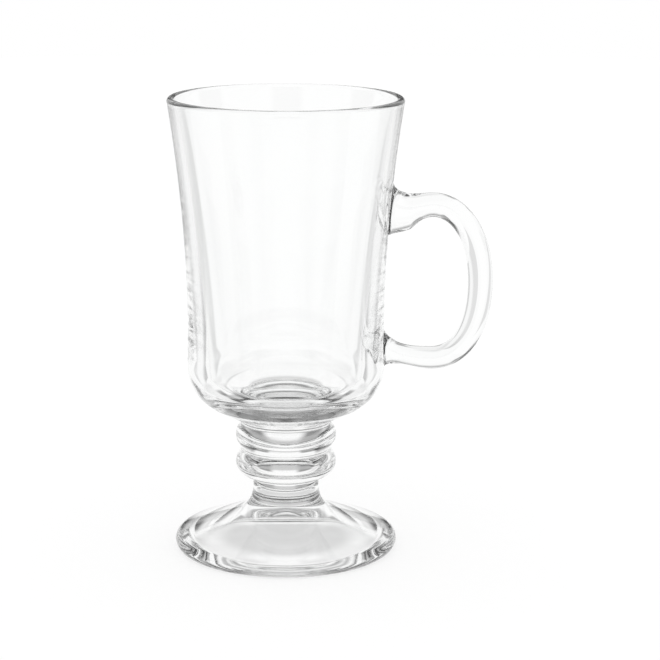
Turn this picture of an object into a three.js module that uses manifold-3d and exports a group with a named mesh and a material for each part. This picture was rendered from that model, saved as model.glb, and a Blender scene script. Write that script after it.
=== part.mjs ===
// Footed glass coffee mug: a flared bowl on a ringed stem and a round foot, with a looped handle.
// Millimetres, +Z up. The mug stands on Z = 0, its handle points along +X, and the origin lies
// under the middle of the whole outline, handle included.
import * as THREE from "three";
import { mergeVertices } from "three/addons/utils/BufferGeometryUtils.js";
import Module from "manifold-3d";

const wasm = await Module();
wasm.setup();

// Foot
const footRadius = 36.3;
const footEdgeRound = 2.6; // radius of the rounded edge
const footSlope = 20; // degrees, of the cone above the edge
const footHeight = 14.4; // table to the seam with the stem
const restingRing = 4.2; // width of the flat ring that meets the table
const hollowDepth = 12; // cone inside that ring, with a rounded top

// Stem and its two rings
const stemRadius = 10.6; // narrowest
const stemFlareRadius = 12.6; // at the seam with the foot
const stemFlareSlope = 52; // degrees, at the same seam
const stemHeight = 9.4;
const knopRadius = 16.35; // crest of each ring
const knopGroove = 2.3; // depth of the groove between the rings
const lowerKnopDrop = 4.6; // lower crest down to the stem
const knopPitch = 9.6; // crest to crest
const upperKnopRise = 4.2; // upper crest up to the seat of the bowl

// Bowl
const mugHeight = 148;
const rimRadius = 37.7;
const lipRound = 1.2; // radius of the rounded lip, half its thickness
const hipRadius = 31.9; // outside, where the base turns into the wall
const hipRise = 19.8; // seat to hip
const baseSlope = 41; // degrees, of the base at its seat
const waistTaper = 2; // degrees, of the wall at the hip, leaning in
const rimFlare = 9; // degrees, of the wall at the rim, leaning out
const innerRimFlare = 11; // the same inside, so the wall thickens downwards
const lowerWall = 6.6; // wall thickness above the floor's corner
const innerWallLean = 3.5; // degrees, of the inner wall above that corner, leaning out
const floorThickness = 11.5;
const floorRadius = 19; // flat of the floor
const floorCorner = 6.5; // height of the curve from floor to wall

// Handle
const handleOverhang = 28.9; // rim to the outermost point
const handleDrop = 30.5; // rim down to the top of the loop
const handleSag = 2.1; // hip down to the lowest point of the loop
const loopDepth = 19.6; // outermost point in to the loop's highest and lowest points
const gripThickness = 8.1; // in the plane of the loop, at the outermost point
const topThickness = 7.8;
const bottomThickness = 7.2;
const handleWidth = 8; // across the loop
const thumbDip = 1.9; // sinks the top of the loop beside the bowl
const upperRootRise = 3.9; // fillet at the wall, above the top of the loop
const upperRootDepth = 14.1; // top of the loop to the underside of the thick upper root
const lowerRootRise = 6.1; // fillet at the wall, above the lower run
const lowerRootArch = 3.3; // lifts the underside of the lower run beside the bowl
const lowerRootLift = 0.5; // lowest point of the loop to the underside of the lower root, at the wall
const rootFlare = 0.5; // widening of each root, on each side
const rootFlareReach = 6;
const seamGap = 0.3; // between the roots and the wall
const rootBite = 3; // length of each root that is cut to fit the wall

// Shapes of the curves: the share of a stretch over which it keeps the direction of its end
const footConeHold = 0.62;
const footFlareHold = 0.17;
const hollowHold = 0.16;
const stemFlareHold = 0.24;
const stemTopHold = 0.58;
const knopHold = 0.6;
const baseHold = 0.33;
const hipHold = 0.72;
const waistHold = 0.33;
const rimHold = 0.32;
const innerRimHold = 0.29;
const innerWallHold = 0.3;
const cornerHold = 0.55;
const upperLoopHold = 0.57;
const lowerLoopHold = 0.61;
const runHold = 0.4;
const thumbHold = 0.14;
const upperRootHold = 0.59;
const lowerRootHold = 0.29;
const lowerFilletHold = 0.19;
const sectionPower = 2; // section of the handle: 2 is an ellipse, more is squarer

// Facets
const aroundMug = 56;
const aroundHandle = 20;
const longSteps = 8;
const shortSteps = 6;

// Heights, from the table up
const stemTop = footHeight + stemHeight;
const lowerCrest = stemTop + lowerKnopDrop;
const upperCrest = lowerCrest + knopPitch;
const knopSeam = (lowerCrest + upperCrest) / 2;
const bowlSeat = upperCrest + upperKnopRise;
const hip = bowlSeat + hipRise;
const floor = bowlSeat + floorThickness;
const lipCentre = mugHeight - lipRound;
const handleTop = mugHeight - handleDrop;
const handleBottom = hip - handleSag;

// Distances from the mug's axis
const grooveRadius = knopRadius - knopGroove;
const handleReach = rimRadius + handleOverhang;
const loopCentre = handleReach - loopDepth;

const mug = new THREE.Group();

function addPiece(name, geometry) {
  const glass = new THREE.MeshStandardMaterial({
    color: 0xf2f6f5,
    roughness: 0.03,
    metalness: 0,
    transparent: true,
    opacity: 0.35,
  });
  const piece = new THREE.Mesh(geometry, glass);
  piece.name = name;
  mug.add(piece);
}

// Outlines are lists of points: a distance from the mug's axis and a height
const point = (radius, height) => new THREE.Vector2(radius, height);
const radians = THREE.MathUtils.degToRad;

const bezier = (...controls) => new THREE.CubicBezierCurve(...controls).getPoints(longSteps);

function arc(centre, radiusAcross, radiusUp, from, to) {
  const ellipse = new THREE.EllipseCurve(centre.x, centre.y, radiusAcross, radiusUp, from, to);
  return ellipse.getPoints(shortSteps);
}

// The point at a distance from another, at an angle in degrees above the horizontal
function away(from, distance, angle) {
  const x = from.x + distance * Math.cos(radians(angle));
  const y = from.y + distance * Math.sin(radians(angle));
  return point(x, y);
}

// Joins stretches end to end, each starting at the point where the one before it ends
const joined = (...stretches) => stretches.reduce((path, stretch) => path.concat(stretch.slice(1)));

// Turns a profile about the mug's axis, from where it leaves the axis below to where it returns above
function turned(profile) {
  const geometry = new THREE.LatheGeometry(profile, aroundMug);
  geometry.rotateX(Math.PI / 2);
  return geometry;
}

// Foot: a conical hollow underneath, a flat resting ring, a rounded edge and a cone sweeping up to the stem
function footProfile() {
  const edgeCentre = point(footRadius - footEdgeRound, footEdgeRound);
  const hollowRadius = edgeCentre.x - restingRing;
  const hollowTop = point(0, hollowDepth);
  const hollowCrown = point(hollowRadius * hollowHold, hollowDepth);
  const hollowEdge = point(hollowRadius, 0);
  const hollow = new THREE.QuadraticBezierCurve(hollowTop, hollowCrown, hollowEdge);
  const edge = arc(edgeCentre, footEdgeRound, footEdgeRound, radians(-90), radians(90 - footSlope));
  const coneEnd = edge.at(-1);
  const seam = point(stemFlareRadius, footHeight);
  const coneLength = coneEnd.x - seam.x;
  const conePull = away(coneEnd, coneLength * footConeHold, 180 - footSlope);
  const flarePull = away(seam, coneLength * footFlareHold, -stemFlareSlope);
  return joined(
    hollow.getPoints(shortSteps),
    [hollowEdge, edge[0]],
    edge,
    bezier(coneEnd, conePull, flarePull, seam),
    [seam, point(0, footHeight)],
  );
}

// Stem: a short trumpet, widest where it meets the foot
function stemProfile() {
  const bottom = point(stemFlareRadius, footHeight);
  const top = point(stemRadius, stemTop);
  const flarePull = away(bottom, stemHeight * stemFlareHold, 180 - stemFlareSlope);
  const topPull = away(top, stemHeight * stemTopHold, -90);
  return joined(
    [point(0, footHeight), bottom],
    bezier(bottom, flarePull, topPull, top),
    [top, point(0, stemTop)],
  );
}

// Half of a ring's round, from its crest to the groove beside it
function knopRound(crest, groove) {
  const pull = point(crest.x, THREE.MathUtils.lerp(crest.y, groove.y, knopHold));
  return new THREE.QuadraticBezierCurve(crest, pull, groove).getPoints(shortSteps);
}

// Lower ring: rounds out from the stem to its crest, then in to the groove
function lowerKnopProfile() {
  const roundCentre = point(stemRadius, lowerCrest);
  const crest = point(knopRadius, lowerCrest);
  const groove = point(grooveRadius, knopSeam);
  return joined(
    [point(0, stemTop), point(stemRadius, stemTop)],
    arc(roundCentre, knopRadius - stemRadius, lowerKnopDrop, radians(-90), 0),
    knopRound(crest, groove),
    [groove, point(0, knopSeam)],
  );
}

// Upper ring: a bead between the groove and the seat of the bowl
function upperKnopProfile() {
  const groove = point(grooveRadius, knopSeam);
  const crest = point(knopRadius, upperCrest);
  const seat = point(grooveRadius, bowlSeat);
  return joined(
    [point(0, knopSeam), groove],
    knopRound(crest, groove).reverse(),
    knopRound(crest, seat),
    [seat, point(0, bowlSeat)],
  );
}

// Outside of the bowl: a round base, then a wall that draws in at the waist and flares to the rim
function bowlOutside() {
  const seat = point(grooveRadius, bowlSeat);
  const turn = point(hipRadius, hip);
  const rim = point(rimRadius, lipCentre);
  const wallHeight = lipCentre - hip;
  const seatPull = away(seat, hipRise * baseHold, baseSlope);
  const hipPull = away(turn, hipRise * hipHold, waistTaper - 90);
  const waistPull = away(turn, wallHeight * waistHold, waistTaper + 90);
  const rimPull = away(rim, wallHeight * rimHold, -rimFlare - 90);
  return joined(
    bezier(seat, seatPull, hipPull, turn),
    bezier(turn, waistPull, rimPull, rim),
  );
}

// Inside of the bowl, from the lip down: the wall thickens and turns into a flat floor
function bowlInside() {
  const rim = point(rimRadius - 2 * lipRound, lipCentre);
  const wallFoot = point(hipRadius - lowerWall, floor + floorCorner);
  const wallHeight = rim.y - wallFoot.y;
  const rimPull = away(rim, wallHeight * innerRimHold, -innerRimFlare - 90);
  const footPull = away(wallFoot, wallHeight * innerWallHold, 90 - innerWallLean);
  const floorEdge = point(floorRadius, floor);
  const cornerPull = away(wallFoot, floorCorner * cornerHold, -innerWallLean - 90);
  const floorPull = point(THREE.MathUtils.lerp(floorRadius, wallFoot.x, cornerHold), floor);
  return joined(
    bezier(rim, rimPull, footPull, wallFoot),
    bezier(wallFoot, cornerPull, floorPull, floorEdge),
    [floorEdge, point(0, floor)],
  );
}

const outside = bowlOutside();

function bowlProfile() {
  const lipMiddle = point(rimRadius - lipRound, lipCentre);
  return joined(
    [point(0, bowlSeat), outside[0]],
    outside,
    arc(lipMiddle, lipRound, lipRound, 0, radians(180)),
    bowlInside(),
  );
}

// The point of the bowl's outside at a height
function onWall(height) {
  const above = outside.findIndex((place) => place.y >= height);
  const low = outside[above - 1];
  const high = outside[above];
  return point(THREE.MathUtils.mapLinear(height, low.y, high.y, low.x, high.x), height);
}

// A quarter of the loop, level at the first point and upright at the second
function loopQuarter(level, upright, hold) {
  const levelPull = point(THREE.MathUtils.lerp(level.x, upright.x, hold), level.y);
  const uprightPull = point(upright.x, THREE.MathUtils.lerp(upright.y, level.y, hold));
  return bezier(level, levelPull, uprightPull, upright);
}

// A run of the loop from the wall: it heads for a height beside the wall, then comes in level to the loop
function rootRun(root, hold, pullHeight, loopEnd) {
  const rootPull = point(THREE.MathUtils.lerp(root.x, loopEnd.x, hold), pullHeight);
  const loopPull = point(THREE.MathUtils.lerp(loopEnd.x, root.x, runHold), loopEnd.y);
  return bezier(root, rootPull, loopPull, loopEnd);
}

// Outer outline of the handle, from the upper root round to the lower
function handleOuter() {
  const top = point(loopCentre, handleTop);
  const side = point(handleReach, (handleTop + handleBottom) / 2);
  const bottom = point(loopCentre, handleBottom);
  const upperRoot = onWall(handleTop + upperRootRise);
  const lowerRoot = onWall(handleBottom + lowerRootLift);
  return joined(
    rootRun(upperRoot, thumbHold, handleTop - thumbDip, top),
    loopQuarter(top, side, upperLoopHold),
    loopQuarter(bottom, side, lowerLoopHold).reverse(),
    rootRun(lowerRoot, lowerRootHold, handleBottom + lowerRootArch, bottom).reverse(),
  );
}

// Inner outline of the handle, point for point beside the outer one
function handleInner() {
  const top = point(loopCentre, handleTop - topThickness);
  const side = point(handleReach - gripThickness, (handleTop + handleBottom) / 2);
  const bottom = point(loopCentre, handleBottom + bottomThickness);
  const upperRoot = onWall(handleTop - upperRootDepth);
  const lowerRoot = onWall(bottom.y + lowerRootRise);
  return joined(
    rootRun(upperRoot, upperRootHold, upperRoot.y, top),
    loopQuarter(top, side, upperLoopHold),
    loopQuarter(bottom, side, lowerLoopHold).reverse(),
    rootRun(lowerRoot, lowerFilletHold, bottom.y, bottom).reverse(),
  );
}

// One section of the handle: an ellipse between matching points of the two outlines,
// wider where it nears the wall
function handleSection(outerPoint, innerPoint) {
  const centre = outerPoint.clone().lerp(innerPoint, 0.5);
  const half = outerPoint.clone().sub(centre);
  const toWall = centre.x - onWall(centre.y).x;
  const nearness = THREE.MathUtils.clamp(1 - toWall / rootFlareReach, 0, 1);
  const halfWidth = handleWidth / 2 + rootFlare * nearness ** 2;
  const squared = (value) => Math.sign(value) * Math.abs(value) ** (2 / sectionPower);
  const places = [];
  for (let corner = 0; corner < aroundHandle; corner += 1) {
    const angle = (2 * Math.PI * corner) / aroundHandle;
    const along = squared(Math.cos(angle));
    const across = squared(Math.sin(angle));
    places.push([centre.x + half.x * along, halfWidth * across, centre.y + half.y * along]);
  }
  return places;
}

// The handle as one closed skin over its sections, with both ends run on into the wall
function handleSkin() {
  const outer = handleOuter();
  const inner = handleInner();
  const sections = outer.map((place, index) => handleSection(place, inner[index]));
  const intoWall = (section) => section.map(([x, y, z]) => [x - rootBite, y, z]);
  sections.unshift(intoWall(sections[0]));
  sections.push(intoWall(sections.at(-1)));
  const triangles = [];
  for (let row = 0; row < sections.length - 1; row += 1) {
    for (let corner = 0; corner < aroundHandle; corner += 1) {
      const here = row * aroundHandle + corner;
      const beside = row * aroundHandle + ((corner + 1) % aroundHandle);
      triangles.push(here, here + aroundHandle, beside);
      triangles.push(beside, here + aroundHandle, beside + aroundHandle);
    }
  }
  const lastRow = (sections.length - 1) * aroundHandle;
  for (let corner = 1; corner < aroundHandle - 1; corner += 1) {
    triangles.push(0, corner, corner + 1);
    triangles.push(lastRow, lastRow + corner + 1, lastRow + corner);
  }
  const geometry = new THREE.BufferGeometry();
  geometry.setAttribute("position", new THREE.Float32BufferAttribute(sections.flat(2), 3));
  geometry.setIndex(triangles);
  return geometry;
}

function solidOf(geometry) {
  const bare = geometry.clone();
  bare.deleteAttribute("normal");
  bare.deleteAttribute("uv");
  const merged = mergeVertices(bare);
  const mesh = new wasm.Mesh({
    numProp: 3,
    vertProperties: merged.attributes.position.array,
    triVerts: new Uint32Array(merged.index.array),
  });
  return new wasm.Manifold(mesh);
}

function geometryOf(solid) {
  const { vertProperties, triVerts } = solid.getMesh();
  const geometry = new THREE.BufferGeometry();
  geometry.setAttribute("position", new THREE.BufferAttribute(vertProperties, 3));
  geometry.setIndex(new THREE.BufferAttribute(triVerts, 1));
  return geometry;
}

// Handle: its roots are cut to the curve of the wall
function handle() {
  const cutter = [
    point(0, bowlSeat),
    ...outside.map((place) => point(place.x + seamGap, place.y)),
    point(0, lipCentre),
  ];
  return geometryOf(solidOf(handleSkin()).subtract(solidOf(turned(cutter))));
}

addPiece("foot", turned(footProfile()));
addPiece("stem", turned(stemProfile()));
addPiece("lower_knop", turned(lowerKnopProfile()));
addPiece("upper_knop", turned(upperKnopProfile()));
addPiece("bowl", turned(bowlProfile()));
addPiece("handle", handle());

// The origin lies halfway between the handle and the opposite side
const backReach = Math.max(rimRadius, hipRadius, footRadius);
mug.position.x = (backReach - handleReach) / 2;

export default mug;
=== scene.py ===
import math
import bpy
import numpy as np
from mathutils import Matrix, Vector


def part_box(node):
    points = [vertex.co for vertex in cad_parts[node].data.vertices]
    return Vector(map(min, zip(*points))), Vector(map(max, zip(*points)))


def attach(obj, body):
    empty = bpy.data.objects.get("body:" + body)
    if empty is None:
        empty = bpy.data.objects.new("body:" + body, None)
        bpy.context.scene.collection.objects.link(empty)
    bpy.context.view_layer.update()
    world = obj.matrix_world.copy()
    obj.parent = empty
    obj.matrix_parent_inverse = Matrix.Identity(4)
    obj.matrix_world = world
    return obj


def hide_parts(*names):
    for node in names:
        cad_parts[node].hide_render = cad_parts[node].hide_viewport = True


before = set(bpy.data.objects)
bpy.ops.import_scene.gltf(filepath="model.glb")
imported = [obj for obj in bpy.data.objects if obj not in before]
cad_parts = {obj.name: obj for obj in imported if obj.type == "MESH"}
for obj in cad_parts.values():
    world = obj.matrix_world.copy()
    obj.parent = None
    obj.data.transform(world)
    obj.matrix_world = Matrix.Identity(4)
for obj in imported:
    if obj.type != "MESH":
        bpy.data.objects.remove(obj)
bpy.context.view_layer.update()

mm = 0.001
body = "root"  # nothing on a mug moves, so every piece rides on the one body

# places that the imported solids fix
bowlLow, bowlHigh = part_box("bowl")
axisX = (bowlLow.x + bowlHigh.x) / 2  # the handle pushes the mug's axis off the origin
rimRadius = (bowlHigh.x - bowlLow.x) / 2
rimHeight = bowlHigh.z
bowlSeat = bowlLow.z
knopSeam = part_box("upper_knop")[0].z
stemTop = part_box("lower_knop")[0].z
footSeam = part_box("stem")[0].z
knopLow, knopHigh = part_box("upper_knop")
knopRadius = (knopHigh.x - knopLow.x) / 2
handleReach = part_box("handle")[1].x - axisX
print("frame loaded, mug axis at x", round(axisX / mm, 2), "mm")


# curves and outlines: arrays of (distance from the mug's axis, height)

def spot(radius, height):
    return np.array([radius, height])


# the spot at a distance from another, at an angle in degrees above level
def away(start, distance, angle):
    turn = math.radians(angle)
    return start + distance * np.array([math.cos(turn), math.sin(turn)])


# cubic Bezier: the four controls weighted by (1-t)^3, 3t(1-t)^2, 3t^2(1-t), t^3
def bezier(first, second, third, fourth, t):
    t = np.asarray(t)[..., None]
    s = 1 - t
    return s ** 3 * first + 3 * t * s ** 2 * second + 3 * t ** 2 * s * third + t ** 3 * fourth


def bezierRun(first, second, third, fourth, count):
    return bezier(first, second, third, fourth, np.linspace(0, 1, count))


# quadratic Bezier: the three controls weighted by (1-t)^2, 2t(1-t), t^2
def bendRun(first, pull, last, count):
    t = np.linspace(0, 1, count)[:, None]
    return (1 - t) ** 2 * first + 2 * t * (1 - t) * pull + t ** 2 * last


# ellipse: centre plus the two half-axes times cos and sin of the angle
def arcRun(centre, halfAcross, halfUp, startAngle, endAngle, count):
    turn = np.radians(np.linspace(startAngle, endAngle, count))
    return centre + np.stack([halfAcross * np.cos(turn), halfUp * np.sin(turn)], axis=1)


def straightRun(start, end, count):
    return start + (end - start) * np.linspace(0, 1, count)[:, None]


# stretches end to end, each starting where the one before it ends
def joined(*stretches):
    return np.concatenate([stretches[0]] + [stretch[1:] for stretch in stretches[1:]])


# cuts a length off the end of a stretch, measured along it
def trimmedEnd(stretch, cut):
    steps = np.linalg.norm(np.diff(stretch, axis=0), axis=1)
    toEnd = np.append(np.cumsum(steps[::-1])[::-1], 0)
    kept = stretch[toEnd > cut]
    back = np.interp(-cut, -toEnd, np.arange(len(stretch)))
    low = int(back)
    cutSpot = stretch[low] + (stretch[low + 1] - stretch[low]) * (back - low)
    return np.vstack([kept, cutSpot])


# rounds the corner that two stretches share: a bend from cut to cut, pulled by the corner
def roundedCorner(below, above, cut, count=15):
    lower = trimmedEnd(below, cut)
    upper = trimmedEnd(above[::-1], cut)[::-1]
    return lower, bendRun(lower[-1], below[-1], upper[0], count), upper


sameHeight = 1e-4 * mm  # spots nearer than this to a seam's height lie on it


# the same for a corner on a seam: the bend is split at the seam's height, one part for each piece
def roundedSeam(below, above, cut):
    seamHeight = below[-1][1]
    lower, bend, upper = roundedCorner(below, above, cut)
    split = spot(np.interp(seamHeight, bend[:, 1], bend[:, 0]), seamHeight)
    under = bend[bend[:, 1] < seamHeight - sameHeight][1:]
    over = bend[bend[:, 1] > seamHeight + sameHeight][:-1]
    return np.vstack([lower, under, split]), np.vstack([split, over, upper])


# meshes

# a closed surface from points and face lists; seam faces take the second material
def solidPiece(name, points, quads, triangles, seamFaces, materials, sharpEdge=None):
    mesh = bpy.data.meshes.new(name)
    mesh.from_pydata(points.tolist(), [], quads.tolist() + triangles.tolist())
    for material in materials:
        mesh.materials.append(material)
    mesh.polygons.foreach_set("material_index", np.asarray(seamFaces, np.int32))
    mesh.polygons.foreach_set("use_smooth", np.ones(len(mesh.polygons), bool))
    if sharpEdge is not None:
        ends = np.empty(len(mesh.edges) * 2, np.int32)
        mesh.edges.foreach_get("vertices", ends)
        mark = mesh.attributes.new("sharp_edge", "BOOLEAN", "EDGE")
        mark.data.foreach_set("value", sharpEdge(ends.reshape(-1, 2)))
    mesh.update()
    piece = bpy.data.objects.new(name, mesh)
    bpy.context.scene.collection.objects.link(piece)
    return piece


# grid of quads between rows of points that close on themselves, row by row upwards
def ringQuads(rowCount, columnCount):
    row = np.arange(rowCount - 1)[:, None] * columnCount
    column = np.arange(columnCount)[None, :]
    beside = (column + 1) % columnCount
    above = row + columnCount
    return np.stack([row + column, row + beside, above + beside, above + column], axis=2).reshape(-1, 4)


# fans that close a turned grid at its two poles, whose points follow the grid's own
def poleFans(rowCount, columnCount):
    column = np.arange(columnCount)
    beside = (column + 1) % columnCount
    last = (rowCount - 1) * columnCount
    lowPole = np.full(columnCount, rowCount * columnCount)
    return np.vstack([np.stack([lowPole, beside, column], axis=1),
                      np.stack([lowPole + 1, last + column, last + beside], axis=1)])


# turns angles and heights into points: (axis + radius cos, radius sin, height)
def turnedPoints(radius, angle, height):
    return np.stack([axisX + radius * np.cos(angle), radius * np.sin(angle), height], axis=-1)


# the spots of an outline, each turned through all the angles
def turnedRows(rows, angle):
    return turnedPoints(rows[:, :1], angle[None, :], np.broadcast_to(rows[:, 1:], (len(rows), len(angle))))


# a profile turned about the mug's axis; its first and last spots lie on the axis and become poles,
# and the rows named as seams have the flat seam faces on their axis side
def turnedPiece(name, profile, columns, materials, lowSeam, highSeam):
    rows = profile[1:-1]
    angle = np.linspace(0, 2 * np.pi, columns, endpoint=False)
    poles = np.array([[axisX, 0, profile[0][1]], [axisX, 0, profile[-1][1]]])
    points = np.vstack([turnedRows(rows, angle).reshape(-1, 3), poles])
    rowIsSeam = np.zeros(len(rows) - 1, np.int32)
    rowIsSeam[:lowSeam] = 1
    rowIsSeam[len(rows) - 1 - highSeam:] = 1
    seamFaces = np.concatenate([
        np.repeat(rowIsSeam, columns),
        np.full(columns, 1 if lowSeam else 0),
        np.full(columns, 1 if highSeam else 0),
    ])
    sharpRows = np.zeros(len(points), np.int32)
    if lowSeam:
        sharpRows[lowSeam * columns:(lowSeam + 1) * columns] = 1
    if highSeam:
        sharpRows[(len(rows) - 1 - highSeam) * columns:(len(rows) - highSeam) * columns] = 2

    def onSeamRim(ends):
        return (sharpRows[ends[:, 0]] > 0) & (sharpRows[ends[:, 0]] == sharpRows[ends[:, 1]])

    return solidPiece(name, points, ringQuads(len(rows), columns), poleFans(len(rows), columns), seamFaces,
                      materials, onSeamRim)


# the flat face of a seam, from the axis out to its rim
def seamDisc(rim, count=6):
    return straightRun(spot(0, rim[1]), rim, count)


seamRows = 4  # rows of quads in a seam disc of six spots, beside the fan at the axis


# materials

# a socket with arithmetic: each operator adds a Math node
class Value:
    def __init__(self, tree, socket):
        self.tree = tree
        self.socket = socket

    def math(self, operation, *others, flipped=False):
        node = self.tree.nodes.new("ShaderNodeMath")
        node.operation = operation
        terms = [self, *others]
        if flipped:
            terms.reverse()
        for place, term in zip(node.inputs, terms):
            setSocket(self.tree, place, term)
        return Value(self.tree, node.outputs[0])

    def __add__(self, other):
        return self.math("ADD", other)

    __radd__ = __add__

    def __sub__(self, other):
        return self.math("SUBTRACT", other)

    def __rsub__(self, other):
        return self.math("SUBTRACT", other, flipped=True)

    def __mul__(self, other):
        return self.math("MULTIPLY", other)

    __rmul__ = __mul__

    def __truediv__(self, other):
        return self.math("DIVIDE", other)


def setSocket(tree, place, value):
    if isinstance(value, Value):
        tree.links.new(value.socket, place)
    elif isinstance(value, bpy.types.NodeSocket):
        tree.links.new(value, place)
    else:
        place.default_value = value


# any other node: its type, its settings (a ramp's stops too), then the values or links of its sockets
def addNode(tree, kind, settings=None, **sockets):
    node = tree.nodes.new(kind)
    for name, value in (settings or {}).items():
        if name == "stops":
            setStops(node.color_ramp, value)
        else:
            setattr(node, name, value)
    for name, value in sockets.items():
        place = node.inputs[int(name[5:])] if name.startswith("input") else node.inputs[name.replace("_", " ")]
        setSocket(tree, place, value)
    return node


def grey(tone):
    return (tone, tone, tone, 1)


# stops of a ramp, each a place from 0 to 1 and a grey
def setStops(ramp, stops):
    ramp.interpolation = "EASE"
    ramp.elements.remove(ramp.elements[1])
    for place, tone in stops[1:]:
        ramp.elements.new(place).color = grey(tone)
    ramp.elements[0].position = stops[0][0]
    ramp.elements[0].color = grey(stops[0][1])


def newMaterial(name):
    material = bpy.data.materials.new(name)
    material.use_nodes = True
    material.node_tree.nodes.clear()
    return material, material.node_tree


# 0 below the first edge, 1 above the second, smooth between
def smoothStep(value, low, high):
    node = addNode(value.tree, "ShaderNodeMapRange", {"interpolation_type": "SMOOTHSTEP"},
                   Value=value, From_Min=low, From_Max=high)
    return Value(value.tree, node.outputs[0])


glassLook = dict(tint=(0.998, 1, 0.999), deepTint=(0.993, 0.998, 0.996), index=1.5, roughness=(0.02, 0.05),
                 cloudScale=38, cloudEdges=(0.35, 0.75), waveScale=95, waveStretch=0.3, waveStrength=0.2,
                 waveDepth=0.1 * mm)


# pressed glass: clear, a little cloudy in patches, with faint waves that run up and down
def clearGlass(name):
    material, tree = newMaterial(name)
    place = addNode(tree, "ShaderNodeTexCoord").outputs["Object"]
    cloud = addNode(tree, "ShaderNodeTexNoise", {}, Vector=place, Scale=glassLook["cloudScale"], Detail=3.0)
    amount = smoothStep(Value(tree, cloud.outputs[0]), *glassLook["cloudEdges"])
    tint = addNode(tree, "ShaderNodeMix", {"data_type": "RGBA"}, input0=amount,
                   input6=(*glassLook["tint"], 1), input7=(*glassLook["deepTint"], 1))
    low, high = glassLook["roughness"]
    drawn = addNode(tree, "ShaderNodeMapping", {}, Vector=place, Scale=(1, 1, glassLook["waveStretch"]))
    waves = addNode(tree, "ShaderNodeTexNoise", {}, Vector=drawn.outputs[0], Scale=glassLook["waveScale"],
                    Detail=1.0)
    bump = addNode(tree, "ShaderNodeBump", {}, Strength=glassLook["waveStrength"],
                   Distance=glassLook["waveDepth"], Height=waves.outputs[0])
    shader = addNode(tree, "ShaderNodeBsdfPrincipled", {}, Base_Color=tint.outputs[2],
                     Roughness=low + amount * (high - low), IOR=glassLook["index"], Transmission_Weight=1.0,
                     Normal=bump.outputs[0])
    addNode(tree, "ShaderNodeOutputMaterial", {}, Surface=shader.outputs[0])
    return material


# where two pieces of glass are fused, light crosses as if there were no surface
def fusedSeam():
    material, tree = newMaterial("fusedSeam")
    clear = addNode(tree, "ShaderNodeBsdfTransparent", {}, Color=(1, 1, 1, 1))
    addNode(tree, "ShaderNodeOutputMaterial", {}, Surface=clear.outputs[0])
    return material


seam = fusedSeam()
glass = clearGlass("clearGlass")
print("materials made")


# foot, stem and rings

footShape = dict(radius=36.3 * mm, edgeRound=2.6 * mm, slope=20, hollowDepth=12 * mm, hollowRadius=29.5 * mm,
                 hollowHold=0.16, coneHold=0.62, flareHold=0.17, ringCrease=1.2 * mm)
stemShape = dict(radius=10.6 * mm, flareRadius=12.6 * mm, flareSlope=52, flareHold=0.24, topHold=0.58)
knopShape = dict(groove=2.3 * mm, lowerDrop=4.6 * mm, pitch=9.6 * mm, hold=0.6, crease=1.0 * mm)
columnsAround = 192


# from the resting ring up: the rounded edge, then a cone that sweeps up to the seam with the stem
def footOutside():
    edgeCentre = spot(footShape["radius"] - footShape["edgeRound"], footShape["edgeRound"])
    edge = arcRun(edgeCentre, footShape["edgeRound"], footShape["edgeRound"], -90, 90 - footShape["slope"], 40)
    seamSpot = spot(stemShape["flareRadius"], footSeam)
    span = edge[-1][0] - seamSpot[0]
    conePull = away(edge[-1], span * footShape["coneHold"], 180 - footShape["slope"])
    flarePull = away(seamSpot, span * footShape["flareHold"], -stemShape["flareSlope"])
    return joined(edge, bezierRun(edge[-1], conePull, flarePull, seamSpot, 48))


# underneath: a cone with a rounded top, as a bend that starts level, then the flat ring that meets the table
def footUnderside():
    ringEdge = footShape["radius"] - footShape["edgeRound"]
    hollowRadius = footShape["hollowRadius"]
    top = spot(0, footShape["hollowDepth"])
    pull = spot(hollowRadius * footShape["hollowHold"], footShape["hollowDepth"])
    hollow = bendRun(top, pull, spot(hollowRadius, 0), 60)
    ring = straightRun(hollow[-1], spot(ringEdge, 0), 10)
    return joined(*roundedCorner(hollow, ring, footShape["ringCrease"]))


# a short trumpet from the foot up to the lower ring
def stemOutside():
    bottom = spot(stemShape["flareRadius"], footSeam)
    top = spot(stemShape["radius"], stemTop)
    height = stemTop - footSeam
    flarePull = away(bottom, height * stemShape["flareHold"], 180 - stemShape["flareSlope"])
    topPull = away(top, height * stemShape["topHold"], -90)
    return bezierRun(bottom, flarePull, topPull, top, 40)


# half of a ring's round: a bend from the crest to the groove beside it
def knopHalf(crest, groove, count=28):
    pull = spot(crest[0], crest[1] + (groove[1] - crest[1]) * knopShape["hold"])
    return bendRun(crest, pull, groove, count)


# the lower ring is an elliptical arc from the stem to its crest, then a half; the upper ring is two halves
def knopOutsides():
    grooveRadius = knopRadius - knopShape["groove"]
    lowerCrest = spot(knopRadius, stemTop + knopShape["lowerDrop"])
    upperCrest = lowerCrest + spot(0, knopShape["pitch"])
    groove = spot(grooveRadius, knopSeam)
    seat = spot(grooveRadius, bowlSeat)
    roundCentre = spot(stemShape["radius"], lowerCrest[1])
    under = arcRun(roundCentre, knopRadius - stemShape["radius"], knopShape["lowerDrop"], -90, 0, 40)
    lower = joined(under, knopHalf(lowerCrest, groove))
    upper = joined(knopHalf(upperCrest, groove)[::-1], knopHalf(upperCrest, seat))
    return lower, upper


# bowl

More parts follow.
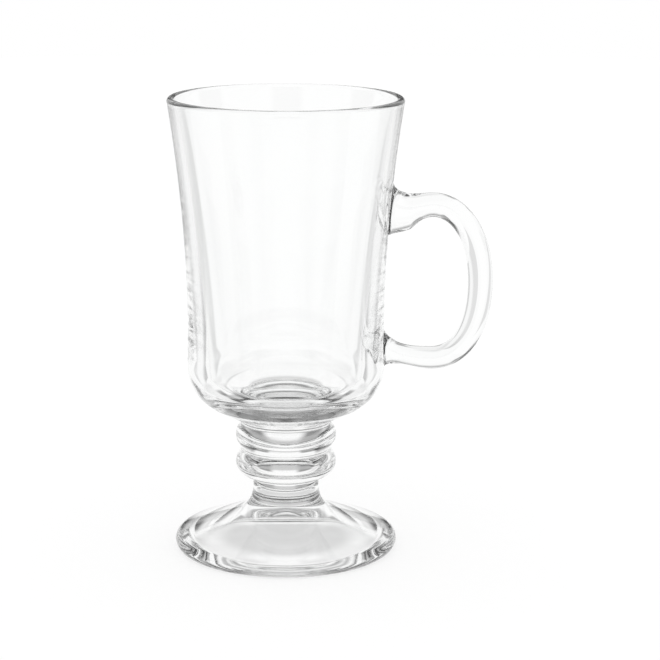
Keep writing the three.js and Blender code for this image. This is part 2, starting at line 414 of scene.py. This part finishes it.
bowlShape = dict(lipRound=1.2 * mm, hipRadius=31.9 * mm, hipRise=19.8 * mm, baseSlope=41, waistTaper=2,
                 rimFlare=9, innerRimFlare=11, lowerWall=6.6 * mm, innerWallLean=3.5,
                 floorThickness=11.5 * mm, floorRadius=19 * mm, floorCorner=6.5 * mm, wallRise=8 * mm,
                 baseHold=0.33, hipHold=0.72, waistHold=0.33, rimHold=0.32, innerRimHold=0.29,
                 innerWallHold=0.3, cornerHold=0.55)
hip = bowlSeat + bowlShape["hipRise"]
lipCentre = rimHeight - bowlShape["lipRound"]


# a round base up to the hip, then a wall that draws in at the waist and flares to the rim
def bowlOutside(count=400):
    seatSpot = spot(knopRadius - knopShape["groove"], bowlSeat)
    turn = spot(bowlShape["hipRadius"], hip)
    rim = spot(rimRadius, lipCentre)
    wallHeight = lipCentre - hip
    seatPull = away(seatSpot, bowlShape["hipRise"] * bowlShape["baseHold"], bowlShape["baseSlope"])
    hipPull = away(turn, bowlShape["hipRise"] * bowlShape["hipHold"], bowlShape["waistTaper"] - 90)
    waistPull = away(turn, wallHeight * bowlShape["waistHold"], bowlShape["waistTaper"] + 90)
    rimPull = away(rim, wallHeight * bowlShape["rimHold"], -bowlShape["rimFlare"] - 90)
    base = bezierRun(seatSpot, seatPull, hipPull, turn, count)
    return joined(base, bezierRun(turn, waistPull, rimPull, rim, count))


# from the lip down: the wall thickens, then a rounded corner turns into the flat floor
def bowlInside():
    rim = spot(rimRadius - 2 * bowlShape["lipRound"], lipCentre)
    floor = bowlSeat + bowlShape["floorThickness"]
    wallFoot = spot(bowlShape["hipRadius"] - bowlShape["lowerWall"], floor + bowlShape["floorCorner"])
    height = rim[1] - wallFoot[1]
    rimPull = away(rim, height * bowlShape["innerRimHold"], -bowlShape["innerRimFlare"] - 90)
    footPull = away(wallFoot, height * bowlShape["innerWallHold"], 90 - bowlShape["innerWallLean"])
    floorEdge = spot(bowlShape["floorRadius"], floor)
    across = wallFoot[0] - bowlShape["floorRadius"]
    cornerPull = away(wallFoot, bowlShape["floorCorner"] * bowlShape["cornerHold"],
                      -90 - bowlShape["innerWallLean"])
    floorPull = floorEdge + spot(across * bowlShape["cornerHold"], 0)
    wall = bezierRun(rim, rimPull, footPull, wallFoot, 70)
    corner = bezierRun(wallFoot, cornerPull, floorPull, floorEdge, 40)
    return joined(wall, corner, straightRun(floorEdge, spot(0, floor), 14))


denseOutside = bowlOutside()


def wallRadiusAt(height):
    return np.interp(height, denseOutside[:, 1], denseOutside[:, 0])


# handle roots: each is a rounded square on the wall, between two heights and two angles.
# The wall's own grid is bent to it, so that wall and handle share the points of its rim.
rootShape = dict(cells=24, halfAngle=7.8, power=2, spread=2.2)
handleShape = dict(drop=30.5 * mm, sag=2.1 * mm, loopDepth=19.6 * mm, grip=8.1 * mm, topThickness=7.8 * mm,
                   bottomThickness=7.2 * mm, width=8 * mm, thumbDip=1.9 * mm, upperRootRise=3.9 * mm,
                   upperRootDepth=14.1 * mm, lowerRootRise=6.1 * mm, lowerRootArch=3.3 * mm,
                   lowerRootLift=0.5 * mm, rootFlare=0.5 * mm, flareReach=6 * mm, upperLoopHold=0.57,
                   lowerLoopHold=0.61, runHold=0.4, thumbHold=0.14, upperRootHold=0.59, lowerRootHold=0.29,
                   lowerFilletHold=0.19)
handleTop = rimHeight - handleShape["drop"]
handleBottom = hip - handleShape["sag"]
rootAngle = math.radians(rootShape["halfAngle"])
upperRoot = (handleTop + handleShape["upperRootRise"], handleTop - handleShape["upperRootDepth"])
lowerRoot = (handleBottom + handleShape["lowerRootLift"],
             handleBottom + handleShape["bottomThickness"] + handleShape["lowerRootRise"])


# squares to rounded squares: a place (s, t) is scaled so that max(|s|,|t|) = 1 lands on |s|^p + |t|^p = 1,
# and the scaling fades out smoothly by the spread
def roundedSquare(s, t):
    square = np.maximum(np.maximum(np.abs(s), np.abs(t)), 1e-9)
    power = rootShape["power"]
    corner = (np.abs(s) / square) ** power + (np.abs(t) / square) ** power
    scale = np.maximum(corner, 1) ** (-1 / power)
    fade = np.clip((rootShape["spread"] - square) / (rootShape["spread"] - 1), 0, 1)
    fade = fade * fade * (3 - 2 * fade)
    return s * (1 + (scale - 1) * fade), t * (1 + (scale - 1) * fade)


# bends a grid of angles and heights on the wall to both roots
def bentToRoots(angle, height):
    for outerHeight, innerHeight in (upperRoot, lowerRoot):
        middle = (outerHeight + innerHeight) / 2
        half = abs(outerHeight - innerHeight) / 2
        s, t = roundedSquare(angle / rootAngle, (height - middle) / half)
        near = ((np.abs(angle) < rootAngle * rootShape["spread"])
                & (np.abs(height - middle) < half * rootShape["spread"]))
        angle = np.where(near, s * rootAngle, angle)
        height = np.where(near, middle + t * half, height)
    return angle, height


# the bowl in one grid, from the axis and back to it: seam disc, base, wall bent to the roots, lip, inside
def buildBowl():
    cells = rootShape["cells"]
    rootColumns = np.linspace(-rootAngle, rootAngle, cells + 1)
    restColumns = np.linspace(rootAngle, 2 * np.pi - rootAngle, columnsAround - cells + 1)
    angle = np.concatenate([rootColumns, restColumns[1:-1]])
    angle = np.where(angle > np.pi, angle - 2 * np.pi, angle)
    columns = len(angle)
    wallStart = bowlSeat + bowlShape["wallRise"]
    base = bowlUnder[bowlUnder[:, 1] < wallStart]
    levels = joined(np.linspace(wallStart, lowerRoot[0], 16),
                    np.linspace(lowerRoot[0], lowerRoot[1], cells + 1),
                    np.linspace(lowerRoot[1], upperRoot[1], 48),
                    np.linspace(upperRoot[1], upperRoot[0], cells + 1),
                    np.linspace(upperRoot[0], lipCentre, 44))
    wallAngle, wallHeight = bentToRoots(*np.broadcast_arrays(angle[None, :], levels[:, None]))
    wall = turnedPoints(wallRadiusAt(wallHeight), wallAngle, wallHeight)
    lipMiddle = spot(rimRadius - bowlShape["lipRound"], lipCentre)
    lip = arcRun(lipMiddle, bowlShape["lipRound"], bowlShape["lipRound"], 0, 180, 25)
    inside = joined(lip, bowlInside())[1:-1]
    disc = seamDisc(bowlUnder[0])[1:]
    below = np.vstack([disc, base[1:]])
    grid = np.concatenate([turnedRows(below, angle), wall, turnedRows(inside, angle)])
    rowCount = len(grid)
    floorHeight = bowlSeat + bowlShape["floorThickness"]
    points = np.vstack([grid.reshape(-1, 3), [[axisX, 0, bowlSeat], [axisX, 0, floorHeight]]])
    isSeam = np.zeros((rowCount - 1, columns), np.int32)
    isSeam[:seamRows] = 1
    for low in (lowerRoot[0], upperRoot[1]):
        row = len(below) + int(np.argmin(np.abs(levels - low)))
        isSeam[row:row + cells, :cells] = 1
    seamFaces = np.concatenate([isSeam.ravel(), np.ones(columns, np.int32), np.zeros(columns, np.int32)])

    def onSeamRim(ends):
        return np.all(ends // columns == seamRows, axis=1)

    return solidPiece("bowl_glass", points, ringQuads(rowCount, columns), poleFans(rowCount, columns),
                      seamFaces, [glass, seam], onSeamRim)


footOut, stemOut = footOutside(), stemOutside()
lowerKnopOut, upperKnopOut = knopOutsides()
stemOut, lowerKnopOut = roundedSeam(stemOut, lowerKnopOut, knopShape["crease"])
lowerKnopOut, upperKnopOut = roundedSeam(lowerKnopOut, upperKnopOut, knopShape["crease"])
upperKnopOut, bowlUnder = roundedSeam(upperKnopOut, denseOutside[::8], knopShape["crease"])

footProfile = joined(footUnderside(), footOut, seamDisc(footOut[-1])[::-1])
foot = turnedPiece("foot_glass", footProfile, columnsAround, [glass, seam], 0, seamRows)
pieces = {"foot": foot}
for name, outside in (("stem", stemOut), ("lower_knop", lowerKnopOut), ("upper_knop", upperKnopOut)):
    profile = joined(seamDisc(outside[0]), outside, seamDisc(outside[-1])[::-1])
    pieces[name] = turnedPiece(name + "_glass", profile, columnsAround, [glass, seam], seamRows, seamRows)
pieces["bowl"] = buildBowl()
print("turned pieces made:", ", ".join(pieces))


# handle

# a quarter of the loop, level at one end and upright at the other
def loopQuarter(level, upright, hold, t):
    levelPull = spot(level[0] + (upright[0] - level[0]) * hold, level[1])
    uprightPull = spot(upright[0], upright[1] + (level[1] - upright[1]) * hold)
    return bezier(level, levelPull, uprightPull, upright, t)


# a run of the loop out of the wall: it heads for a height beside the wall, then comes in level to the loop
def rootRun(root, hold, pullHeight, loopEnd, t):
    rootPull = spot(root[0] + (loopEnd[0] - root[0]) * hold, pullHeight)
    loopPull = spot(loopEnd[0] + (root[0] - loopEnd[0]) * handleShape["runHold"], loopEnd[1])
    return bezier(root, rootPull, loopPull, loopEnd, t)


def onWall(height):
    return spot(wallRadiusAt(height), height)


loopCentre = handleReach - handleShape["loopDepth"]
loopMiddle = (handleTop + handleBottom) / 2


# outer and inner outlines of the four stretches, upper root to lower root; t runs from 0 to 1 on each
def outlines(stretch, t):
    innerTop = handleTop - handleShape["topThickness"]
    innerBottom = handleBottom + handleShape["bottomThickness"]
    outerSide, innerSide = spot(handleReach, loopMiddle), spot(handleReach - handleShape["grip"], loopMiddle)
    upperHold, lowerHold = handleShape["upperLoopHold"], handleShape["lowerLoopHold"]
    if stretch == 0:
        outer = rootRun(onWall(upperRoot[0]), handleShape["thumbHold"], handleTop - handleShape["thumbDip"],
                        spot(loopCentre, handleTop), t)
        inner = rootRun(onWall(upperRoot[1]), handleShape["upperRootHold"], upperRoot[1],
                        spot(loopCentre, innerTop), t)
    elif stretch == 1:
        outer = loopQuarter(spot(loopCentre, handleTop), outerSide, upperHold, t)
        inner = loopQuarter(spot(loopCentre, innerTop), innerSide, upperHold, t)
    elif stretch == 2:
        outer = loopQuarter(spot(loopCentre, handleBottom), outerSide, lowerHold, 1 - t)
        inner = loopQuarter(spot(loopCentre, innerBottom), innerSide, lowerHold, 1 - t)
    else:
        outer = rootRun(onWall(lowerRoot[0]), handleShape["lowerRootHold"],
                        handleBottom + handleShape["lowerRootArch"], spot(loopCentre, handleBottom), 1 - t)
        inner = rootRun(onWall(lowerRoot[1]), handleShape["lowerFilletHold"], innerBottom,
                        spot(loopCentre, innerBottom), 1 - t)
    return outer, inner


# the rim of the square block of cells, once round, as rounded-square places (s, t)
def rootRim():
    cells = rootShape["cells"]
    go = np.linspace(-1, 1, cells + 1)[:-1]
    s = np.concatenate([go, np.ones(cells), -go, -np.ones(cells)])
    t = np.concatenate([-np.ones(cells), go, np.ones(cells), -go])
    return roundedSquare(s, t)


# sections of the handle: centre of the two outlines, plus half their gap times t, plus half the width times s
def sections(stretch, t):
    outer, inner = outlines(stretch, t)
    s, r = rootRim()
    centre = (outer + inner) / 2
    half = (outer - inner) / 2
    toWall = centre[:, 0] - wallRadiusAt(centre[:, 1])
    nearness = np.clip(1 - toWall / handleShape["flareReach"], 0, 1)
    halfWidth = handleShape["width"] / 2 + handleShape["rootFlare"] * nearness ** 2
    x = centre[:, :1] + half[:, :1] * r
    z = centre[:, 1:] + half[:, 1:] * r
    return np.stack([axisX + x, halfWidth[:, None] * s, z], axis=-1)


# places of a root on the wall, t = 1 at the outer outline
def rootPlaces(root, s, t):
    middle, half = (root[0] + root[1]) / 2, (root[0] - root[1]) / 2
    height = middle + t * half
    return turnedPoints(wallRadiusAt(height), s * rootAngle, height)


# pulls at the outer outline, the sides and the inner outline, and the share of a root's run that a fillet takes
filletShape = dict(upper=(2.6 * mm, 0.8 * mm, 1.0 * mm), lower=(1.2 * mm, 0.8 * mm, 2.0 * mm), share=0.45,
                   inset=0.98, step=1e-3)


# fillet rows: one cubic Bezier for each point of the rim, from the wall to the section at the root's share.
# It leaves along the wall, towards the middle of the root, and arrives along the handle.
def filletRows(root, stretch, pulls, count):
    s, t = rootRim()
    onRim = rootPlaces(root, s, t)
    inward = rootPlaces(root, s * filletShape["inset"], t * filletShape["inset"]) - onRim
    inward /= np.linalg.norm(inward, axis=-1, keepdims=True)
    outerPull, sidePull, innerPull = pulls
    pull = sidePull * s ** 2 + np.where(t > 0, outerPull, innerPull) * t ** 2
    share, step = filletShape["share"], filletShape["step"]
    places = [share, share + step] if stretch == 0 else [1 - share, 1 - share - step]
    near, past = sections(stretch, np.array(places))
    arrive = (past - near) / step * share / 3
    return bezier(onRim, onRim + inward * pull[:, None], near - arrive, near, np.linspace(0, 1, count)[:, None])


# the handle in one grid from root to root, closed at each by a block of cells that lies on the wall
def buildHandle():
    cells, share = rootShape["cells"], filletShape["share"]
    upper = filletRows(upperRoot, 0, filletShape["upper"], 24)
    lower = filletRows(lowerRoot, 3, filletShape["lower"], 24)[::-1]
    rows = joined(upper, sections(0, np.linspace(share, 1, 26)), sections(1, np.linspace(0, 1, 56)),
                  sections(2, np.linspace(0, 1, 56)), sections(3, np.linspace(0, 1 - share, 26)), lower)
    columns = rows.shape[1]
    go = np.linspace(-1, 1, cells + 1)
    s, t = roundedSquare(*np.meshgrid(go, go))
    caps = [rootPlaces(root, s, t) for root in (upperRoot, lowerRoot)]
    inner = [cap[1:-1, 1:-1].reshape(-1, 3) for cap in caps]
    points = np.vstack([rows.reshape(-1, 3), *inner])
    quads = [ringQuads(len(rows), columns)]
    innerOrder = np.arange((cells - 1) ** 2).reshape(cells - 1, cells - 1)
    for end, firstOfRing in enumerate((0, (len(rows) - 1) * columns)):
        index = np.empty((cells + 1, cells + 1), int)
        index[1:-1, 1:-1] = len(rows) * columns + end * innerOrder.size + innerOrder
        ring = firstOfRing + np.arange(columns)
        index[0, :cells] = ring[:cells]
        index[:cells, cells] = ring[cells:2 * cells]
        index[cells, cells:0:-1] = ring[2 * cells:3 * cells]
        index[cells:0:-1, 0] = ring[3 * cells:]
        cap = np.stack([index[:-1, :-1], index[:-1, 1:], index[1:, 1:], index[1:, :-1]], axis=2).reshape(-1, 4)
        quads.append(cap[:, ::-1] if end == 0 else cap)
    quads = np.vstack(quads)
    seamFaces = np.zeros(len(quads), np.int32)
    seamFaces[-2 * cells * cells:] = 1
    ringOf = np.full(len(points), -1)
    ringOf[:columns] = 0
    ringOf[(len(rows) - 1) * columns:len(rows) * columns] = 1

    def onRootRim(ends):
        return (ringOf[ends[:, 0]] >= 0) & (ringOf[ends[:, 0]] == ringOf[ends[:, 1]])

    noFans = np.empty((0, 3), int)
    return solidPiece("handle_glass", points, quads, noFans, seamFaces, [glass, seam], onRootRim)


pieces["handle"] = buildHandle()
print("handle made")

for node, piece in pieces.items():
    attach(piece, body)
    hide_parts(node)


# floor, light and camera

# what shows in the glass: at each quarter turn a white panel, what is beside it, and the corner between two;
# near the foot, painted shadow on the floor.
# Stops are (mm from the mug's axis, tone) on the floor and (degrees above the horizon, tone) in the room.
setLook = dict(
    floorReach=260, nearTo=(95, 140),  # mm: end of the floor's ramps, and where its near part ends
    panelHalf=(48, 54), panelSpread=0.22,  # mm and slope: edge of a panel on the far floor
    floorBeside=(7, 14), floorCorner=(22, 32), roomBeside=(12, 17), roomCorner=(26, 32),  # degrees off a panel
    sideFrom=(44, 50), sideTone=0.82, diagonalFrom=(31, 40), diagonalTone=0.95,  # degrees: far corners
    cardLow=(1.7, 4), cardHigh=(14, 17.5), cardTurn=(12, 20), cardTone=0.1,  # degrees: card in reflections
    frontFrom=(0, 20), frontInside=(31, 35), frontOutside=(64, 80), frontShadowTone=0.1,  # mm: painted shadow in a band before the foot
    # painted shadow in the floor stops near the foot: grey under it, a dark ring round its resting edge at
    # about 34 to 42 mm, and grey beyond it out to 64 to 92 mm
    panelFloor=((0, 0.68), (18, 0.73), (25, 0.99), (29, 0.99), (31.5, 0.6), (34, 0.01), (38, 0.01), (42, 0.62),
                (56, 0.61), (64, 0.99), (120, 1)),
    besideFloor=((0, 0.7), (18, 0.71), (25, 0.97), (29, 0.8), (31.5, 0.8), (34, 0.02), (38, 0.01), (42, 0.15),
                 (48, 0.43), (56, 0.43), (64, 0.25), (76, 0.42), (92, 0.97)),
    cornerFloor=((0, 0.69), (18, 0.72), (25, 0.9), (32, 0.9), (37, 0.3), (42, 0.02), (48, 0.05), (56, 0.81),
                 (64, 0.88), (92, 0.86), (120, 0.66), (160, 0.6), (250, 0.74)),
    panelRoom=((0, 1), (18, 1), (29, 0.56), (34, 0.32), (42, 0.99), (50, 0.25), (70, 0.07)),
    besideRoom=((0, 1), (15, 1), (18, 0.35), (34, 0.5), (42, 0.88), (50, 0.19), (70, 0.18)),
    cornerRoom=((0, 0.98), (8, 0.95), (15, 0.28), (18, 0.01), (34, 0.07), (50, 0.06), (70, 0.29)))


# greys of three ramps over the same value, whose stops' places the given function turns into 0 to 1
def rampTones(value, names, place):
    ramps = [[(place(at), tone) for at, tone in setLook[name]] for name in names]
    nodes = [addNode(value.tree, "ShaderNodeValToRGB", {"stops": stops}, Fac=value) for stops in ramps]
    return [Value(value.tree, node.outputs[0]) for node in nodes]


# angle from the front to back line, from 0 to a right angle, and from the middle of the nearest panel
def panelTurn(x, y):
    turn = x.math("ABSOLUTE").math("ARCTAN2", y.math("ABSOLUTE"))
    return turn, math.pi / 4 - (turn - math.pi / 4).math("ABSOLUTE")


# smooth steps between two angles, or two lengths, of the set
def turnStep(value, name):
    return smoothStep(value, *np.radians(setLook[name]))


def lengthStep(value, name):
    return smoothStep(value, *np.multiply(setLook[name], mm))


# 1 for rays that come through the glass, 0 for the camera's own, for reflections and for light on the floor
def seenInGlass(tree):
    return Value(tree, addNode(tree, "ShaderNodeLightPath").outputs["Is Transmission Ray"])


floorLook = dict(radius=1.6, corners=96, gap=0.05 * mm, colour=0.25, glow=0.77)


# a pale floor that keeps the shadow; in the glass it shows painted shadow, grey near the foot and paler away
# from it
def buildFloor():
    corners = floorLook["corners"]
    around = np.linspace(0, 2 * np.pi, corners, endpoint=False)
    rim = np.stack([floorLook["radius"] * np.cos(around), floorLook["radius"] * np.sin(around),
                    np.full(corners, -floorLook["gap"])], axis=1)
    mesh = bpy.data.meshes.new("floor")
    mesh.from_pydata(rim.tolist(), [], [list(range(corners))])
    material, tree = newMaterial("paleFloor")
    paint = addNode(tree, "ShaderNodeBsdfPrincipled", {}, Base_Color=grey(floorLook["colour"]), Roughness=1.0,
                    Specular_IOR_Level=0.0, Emission_Color=grey(1), Emission_Strength=floorLook["glow"])
    place = addNode(tree, "ShaderNodeTexCoord")
    split = addNode(tree, "ShaderNodeSeparateXYZ", {}, Vector=place.outputs["Object"])
    x, y = Value(tree, split.outputs["X"]) - axisX, Value(tree, split.outputs["Y"])
    distance = (x * x + y * y).math("SQRT")
    turn, offPanel = panelTurn(x, y)
    across = x.math("ABSOLUTE").math("MINIMUM", y.math("ABSOLUTE"))
    along = x.math("ABSOLUTE").math("MAXIMUM", y.math("ABSOLUTE"))
    nearMix = turnStep(offPanel, "floorCorner")
    farMix = lengthStep(across - along * setLook["panelSpread"], "panelHalf")
    farness = lengthStep(distance, "nearTo")
    cornerMix = nearMix + farness * (farMix - nearMix)
    reach = setLook["floorReach"]
    # these ramps carry the painted shadow round the foot that the glass shows, and the paler panels and greyer
    # corners farther out
    panel, beside, corner = rampTones(distance / (reach * mm), ("panelFloor", "besideFloor", "cornerFloor"),
                                      lambda at: at / reach)
    corner = corner * (1 - turnStep(turn, "sideFrom") * farness * (1 - setLook["sideTone"]))
    corner = corner + turnStep(offPanel, "diagonalFrom") * farness * (setLook["diagonalTone"] - corner)
    tone = panel + turnStep(offPanel, "floorBeside") * (beside - panel)
    tone = tone + cornerMix * (corner - tone)
    # painted shadow: the floor's tone darkens in a band just in front of the foot, on the camera's side
    shadowBand = lengthStep(distance, "frontInside") - lengthStep(distance, "frontOutside")
    tone = tone * (1 - lengthStep(y * -1, "frontFrom") * shadowBand * (1 - setLook["frontShadowTone"]))
    # through the glass the floor glows with these tones, the painted shadow near the foot included
    inGlass = addNode(tree, "ShaderNodeEmission", {}, Color=tone, Strength=1.0)
    mix = addNode(tree, "ShaderNodeMixShader", {}, input0=seenInGlass(tree), input1=paint.outputs[0],
                  input2=inGlass.outputs[0])
    addNode(tree, "ShaderNodeOutputMaterial", {}, Surface=mix.outputs[0])
    mesh.materials.append(material)
    floor = bpy.data.objects.new("floor", mesh)
    bpy.context.scene.collection.objects.link(floor)


# white all round for the camera and the floor, with panels and dark corners where it shows through the glass
def buildWorld():
    world = bpy.data.worlds.new("studio")
    bpy.context.scene.world = world
    world.use_nodes = True
    tree = world.node_tree
    tree.nodes.clear()
    place = addNode(tree, "ShaderNodeTexCoord")
    split = addNode(tree, "ShaderNodeSeparateXYZ", {}, Vector=place.outputs["Generated"])
    x, y, z = (Value(tree, socket) for socket in split.outputs)
    offPanel = panelTurn(x, y)[1]
    panel, beside, corner = rampTones(z, ("panelRoom", "besideRoom", "cornerRoom"),
                                      lambda at: math.sin(math.radians(at)))
    room = panel + turnStep(offPanel, "roomBeside") * (beside - panel)
    room = room + turnStep(offPanel, "roomCorner") * (corner - room)
    # a low dark card at each panel, which only reflections show, mostly those at the ends of the rim
    path = addNode(tree, "ShaderNodeLightPath")
    mirrored = Value(tree, path.outputs["Is Reflection Ray"]) * Value(tree, path.outputs["Is Glossy Ray"])
    low, high = (smoothStep(z, *np.sin(np.radians(setLook[name]))) for name in ("cardLow", "cardHigh"))
    card = low * (1 - high) * (1 - turnStep(offPanel, "cardTurn"))
    tone = 1 + seenInGlass(tree) * (room - 1) - mirrored * card * (1 - setLook["cardTone"])
    back = addNode(tree, "ShaderNodeBackground", {}, Color=tone, Strength=1.0)
    addNode(tree, "ShaderNodeOutputWorld", {}, Surface=back.outputs[0])


cameraLook = dict(distance=689.0 * mm, height=230.1 * mm, pitch=12.89, lens=119.2, sensor=36, nearest=0.01,
                  roll=0.25, aside=-0.2 * mm)


def buildCamera():
    lens = bpy.data.cameras.new("camera")
    lens.lens = cameraLook["lens"]
    lens.sensor_width = cameraLook["sensor"]
    lens.clip_start = cameraLook["nearest"]
    camera = bpy.data.objects.new("camera", lens)
    camera.location = (cameraLook["aside"], -cameraLook["distance"], cameraLook["height"])
    camera.rotation_mode = "ZXY"  # the roll about the view first, then the pitch
    camera.rotation_euler = (math.radians(90 - cameraLook["pitch"]), 0, math.radians(cameraLook["roll"]))
    bpy.context.scene.collection.objects.link(camera)
    bpy.context.scene.camera = camera


buildFloor()
buildWorld()
buildCamera()
scene = bpy.context.scene
scene.view_settings.view_transform = "Standard"
scene.cycles.max_bounces = 48  # light goes round and round in the thick glass
scene.cycles.transmission_bounces = 48
scene.cycles.glossy_bounces = 32
scene.cycles.transparent_max_bounces = 128
print("floor, light and camera made")
